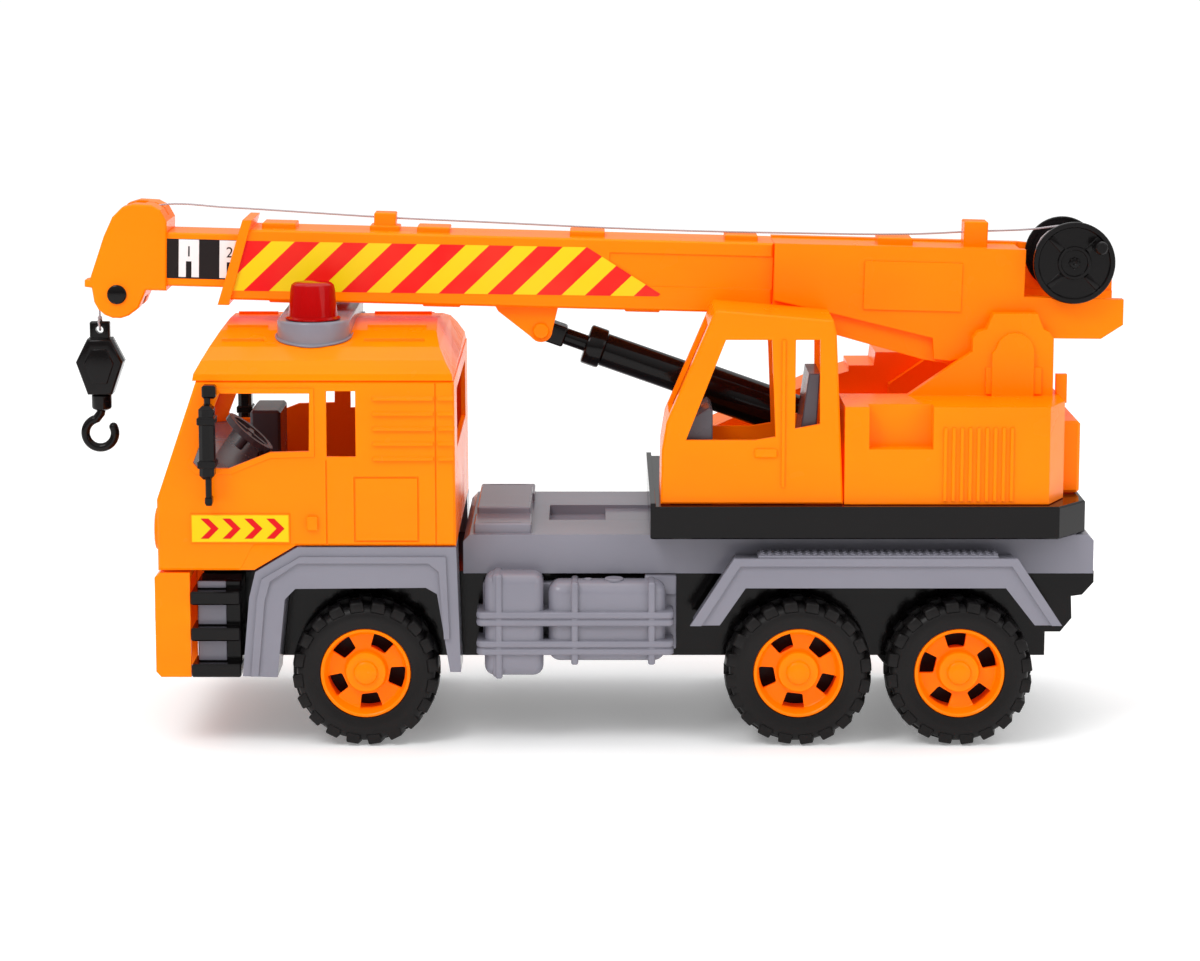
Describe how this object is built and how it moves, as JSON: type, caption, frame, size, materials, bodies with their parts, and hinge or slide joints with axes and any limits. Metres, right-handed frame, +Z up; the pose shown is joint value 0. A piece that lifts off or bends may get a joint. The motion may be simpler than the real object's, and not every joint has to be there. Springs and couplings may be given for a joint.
{
  "type": "toy mobile crane",
  "caption": "Plastic toy truck crane with a slewing turret, raising and telescoping boom, winch, pulley head, swivelling hook and rolling wheels.",
  "frame": {"origin": "centre of the bounding box in plan, on the ground under the tyres", "axes": "+X from the cab towards the tail, -Y the side of the crane operator's cabin, +Z up"},
  "size_m": [0.573, 0.2176, 0.2852],
  "materials": {
    "orange_plastic": "moulded orange plastic, satin gloss",
    "grey_plastic": "moulded grey plastic, satin gloss",
    "black_plastic": "moulded black plastic, glossy",
    "tyre_rubber": "soft black plastic tyre, matt, hollow-moulded",
    "red_lens": "tinted red plastic, polished",
    "rope": "thin braided white cord",
    "steel": "plain steel wire and screws"
  },
  "bodies": {
    "truck": {"beacon_left": "red_lens", "beacon_right": "red_lens", "cab_fender_left": "grey_plastic", "cab_fender_right": "grey_plastic", "cab_interior": "grey_plastic", "cab_roof": "orange_plastic", "cab_shell": "orange_plastic", "cab_steps_left": "black_plastic", "cab_steps_right": "black_plastic", "chassis_deck": "grey_plastic", "chassis_frame": "black_plastic", "front_bumper": "orange_plastic", "light_bar_base": "grey_plastic", "mirror_left": "black_plastic", "mirror_right": "black_plastic", "rear_fender_left": "grey_plastic", "rear_fender_right": "grey_plastic", "side_tank_left": "grey_plastic", "side_tank_right": "grey_plastic", "slew_pivot": "black_plastic", "steering_wheel": "grey_plastic"},
    "front_wheels": {"front_axle": "steel", "front_rim_left": "orange_plastic", "front_rim_right": "orange_plastic", "front_tyre_left": "tyre_rubber", "front_tyre_right": "tyre_rubber"},
    "mid_wheels": {"mid_axle": "steel", "mid_rim_left": "orange_plastic", "mid_rim_right": "orange_plastic", "mid_tyre_left": "tyre_rubber", "mid_tyre_right": "tyre_rubber"},
    "rear_wheels": {"rear_axle": "steel", "rear_rim_left": "orange_plastic", "rear_rim_right": "orange_plastic", "rear_tyre_left": "tyre_rubber", "rear_tyre_right": "tyre_rubber"},
    "turret": {"turntable_tray": "black_plastic", "superstructure_body": "orange_plastic", "operator_cabin": "orange_plastic", "operator_console": "grey_plastic", "operator_seat": "grey_plastic", "boom_pivot_pin": "black_plastic", "cylinder_foot_pin": "steel"},
    "boom": {"boom_outer": "orange_plastic", "boom_rear_housing": "orange_plastic", "cylinder_pin": "black_plastic", "hoist_rope": "rope"},
    "boom_tip": {"boom_inner": "orange_plastic", "boom_head": "orange_plastic", "sheave_pin": "black_plastic"},
    "sheave": {"head_sheave": "black_plastic"},
    "winch": {"winch_drum": "black_plastic", "rope_coil": "rope", "crank_knob": "black_plastic", "winch_screw": "steel"},
    "hoist_line": {"hoist_rope_fall": "rope"},
    "hook_block": {"hook_block": "black_plastic"},
    "hook": {"hook": "black_plastic"},
    "cylinder_rod": {"cylinder_rod": "black_plastic"},
    "cylinder_barrel": {"cylinder_barrel": "black_plastic"}
  },
  "joints": [
    {"name": "slew", "type": "hinge", "parent": "truck", "child": "turret", "pos_m": [0.151, 0, 0.1128], "axis": [0, 0, 1], "continuous": true},
    {"name": "boom_raise", "type": "hinge", "parent": "turret", "child": "boom", "pos_m": [0.2264, 0, 0.207], "axis": [0, 1, 0], "range_deg": [0, 35]},
    {"name": "boom_extend", "type": "slide", "parent": "boom", "child": "boom_tip", "axis": [-0.9997, 0, 0.0262], "range_m": [-0.025, 0.14], "deforming": ["hoist_rope"]},
    {"name": "hook_level", "type": "hinge", "parent": "boom_tip", "child": "hoist_line", "pos_m": [-0.26121, 0, 0.23607], "axis": [0, 1, 0], "range_deg": [-35, 0]},
    {"name": "winch_turn", "type": "hinge", "parent": "boom", "child": "winch", "pos_m": [0.25806, 0, 0.25479], "axis": [0, -1, 0], "range_deg": [0, 430]},
    {"name": "hoist", "type": "slide", "parent": "hoist_line", "child": "hook_block", "axis": [0, 0, -1], "range_m": [0, 0.13], "deforming": ["hoist_rope_fall"]},
    {"name": "sheave_turn", "type": "hinge", "parent": "boom_tip", "child": "sheave", "pos_m": [-0.26121, 0, 0.23607], "axis": [0, -1, 0], "range_deg": [0, 602]},
    {"name": "hook_swivel", "type": "hinge", "parent": "hook_block", "child": "hook", "pos_m": [-0.2736, 0, 0.1786], "axis": [0, 0, 1], "continuous": true},
    {"name": "rod_swing", "type": "hinge", "parent": "boom", "child": "cylinder_rod", "pos_m": [-0.0303, 0, 0.2155], "axis": [0, 1, 0], "range_deg": [0, 1]},
    {"name": "barrel_slide", "type": "slide", "parent": "cylinder_rod", "child": "cylinder_barrel", "axis": [0.9429, 0, -0.333], "range_m": [0, 0.05]},
    {"name": "front_wheels_roll", "type": "hinge", "parent": "truck", "child": "front_wheels", "pos_m": [-0.1235, 0, 0.0397], "axis": [0, 1, 0], "continuous": true},
    {"name": "mid_wheels_roll", "type": "hinge", "parent": "truck", "child": "mid_wheels", "pos_m": [0.1083, 0, 0.0397], "axis": [0, 1, 0], "continuous": true},
    {"name": "rear_wheels_roll", "type": "hinge", "parent": "truck", "child": "rear_wheels", "pos_m": [0.1944, 0, 0.0397], "axis": [0, 1, 0], "continuous": true}
  ],
  "couplings": [
    {"joint": "hook_level", "follows": "boom_raise", "ratio": -1},
    {"joint": "rod_swing", "follows": "boom_raise", "ratio": 0.026},
    {"joint": "barrel_slide", "follows": "boom_raise", "m_per_rad": 0.0808},
    {"joint": "hoist", "follows": "winch_turn", "m_per_rad": 0.0173},
    {"joint": "sheave_turn", "follows": "winch_turn", "ratio": 1.395}
  ]
}
